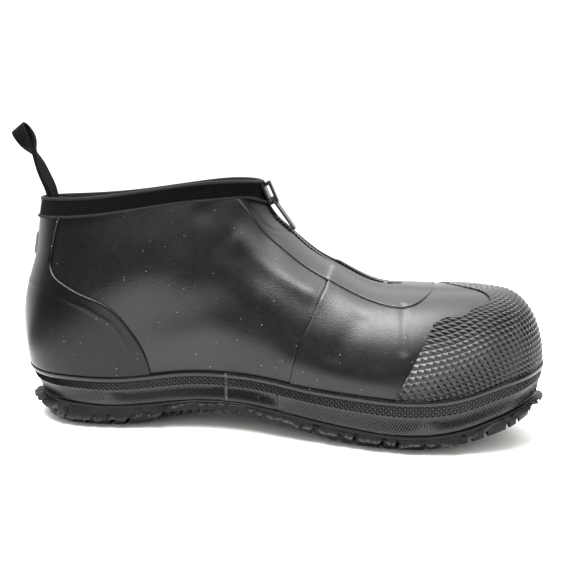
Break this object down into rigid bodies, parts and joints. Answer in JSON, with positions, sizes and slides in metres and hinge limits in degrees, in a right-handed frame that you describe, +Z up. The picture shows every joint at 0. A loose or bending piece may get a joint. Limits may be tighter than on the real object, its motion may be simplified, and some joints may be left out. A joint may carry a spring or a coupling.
{
  "type": "overshoe",
  "caption": "Ankle-high black rubber overshoe for the left foot, worn over a work boot, with front zip, knurled toe cap, heel counter, pull loop and lugged sole.",
  "frame": {"origin": "on the floor, under the middle of the shoe's bounding box", "axes": "+X to the toe, +Y to the outer side of the foot, +Z up"},
  "size_m": [0.3372, 0.123, 0.1888],
  "materials": {
    "sole_rubber": "matt black moulded rubber",
    "upper_rubber": "satin black rubber, cloth lined",
    "trim_rubber": "satin black rubber",
    "insole_felt": "dark felt",
    "woven_tape": "black woven tape",
    "zip_plastic": "black moulded plastic",
    "zip_metal": "black coated zinc"
  },
  "bodies": {
    "shoe": {"outsole": "sole_rubber", "insole": "insole_felt", "upper": "upper_rubber", "side_band": "trim_rubber", "toe_cap": "trim_rubber", "heel_counter": "trim_rubber", "zip_facing": "trim_rubber", "collar_binding": "woven_tape", "pull_loop": "woven_tape", "zip_tape": "woven_tape", "zip_teeth": "zip_plastic", "zip_slider": "zip_metal"},
    "pull_tab": {"zip_pull_tab": "zip_metal"}
  },
  "joints": [
    {"name": "pull_tab_hinge", "type": "hinge", "parent": "shoe", "child": "pull_tab", "pos_m": [0.00016, 0.00059, 0.14204], "axis": [0, -1, 0], "range_deg": [0, 108]}
  ]
}
